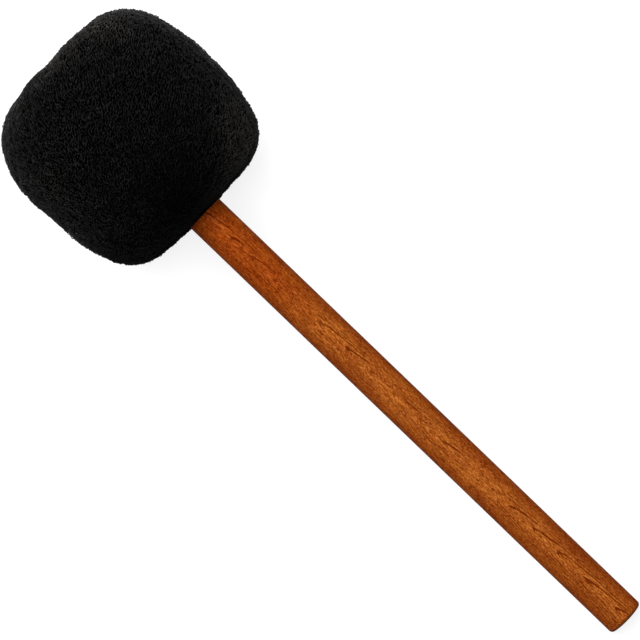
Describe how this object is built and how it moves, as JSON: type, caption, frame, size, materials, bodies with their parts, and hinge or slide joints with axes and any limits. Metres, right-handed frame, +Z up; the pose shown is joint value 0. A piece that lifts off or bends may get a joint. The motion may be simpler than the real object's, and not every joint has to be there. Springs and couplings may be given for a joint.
{
  "type": "gong mallet",
  "caption": "Gong mallet: straight varnished hardwood shaft with a large round-cornered black fleece head, wound with felt over a weighted wooden core.",
  "frame": {"origin": "centre of the bounding box on the floor that the mallet lies on", "axes": "+Z up; the mallet lies along X with its head towards -X and its butt towards +X, its axis rising 7.9 degrees from the butt to the head; +Y is the slightly fuller side of the head"},
  "size_m": [0.4328, 0.1236, 0.125],
  "materials": {
    "stained_hardwood": "satin varnish over an orange-brown stain",
    "maple": "bare turned wood",
    "steel": "turned",
    "zinc_plated_steel": "zinc plated",
    "grey_felt": "pressed wool felt",
    "white_felt": "soft wool felt",
    "wadding": "polyester wadding",
    "black_fleece": "short curled pile",
    "waxed_cord": "waxed",
    "linen_twine": "twisted"
  },
  "bodies": {
    "root": {"shaft": "stained_hardwood", "core": "maple", "weight_ring": "steel", "clamp_washer": "zinc_plated_steel", "core_screw": "zinc_plated_steel", "felt_wrap": "grey_felt", "wrap_twine_neck": "linen_twine", "wrap_twine_crown": "linen_twine", "neck_pad": "white_felt", "end_pad": "white_felt", "wadding_sleeve": "wadding", "fleece_cover": "black_fleece", "neck_tie": "waxed_cord", "crown_tie": "waxed_cord"}
  },
  "joints": []
}
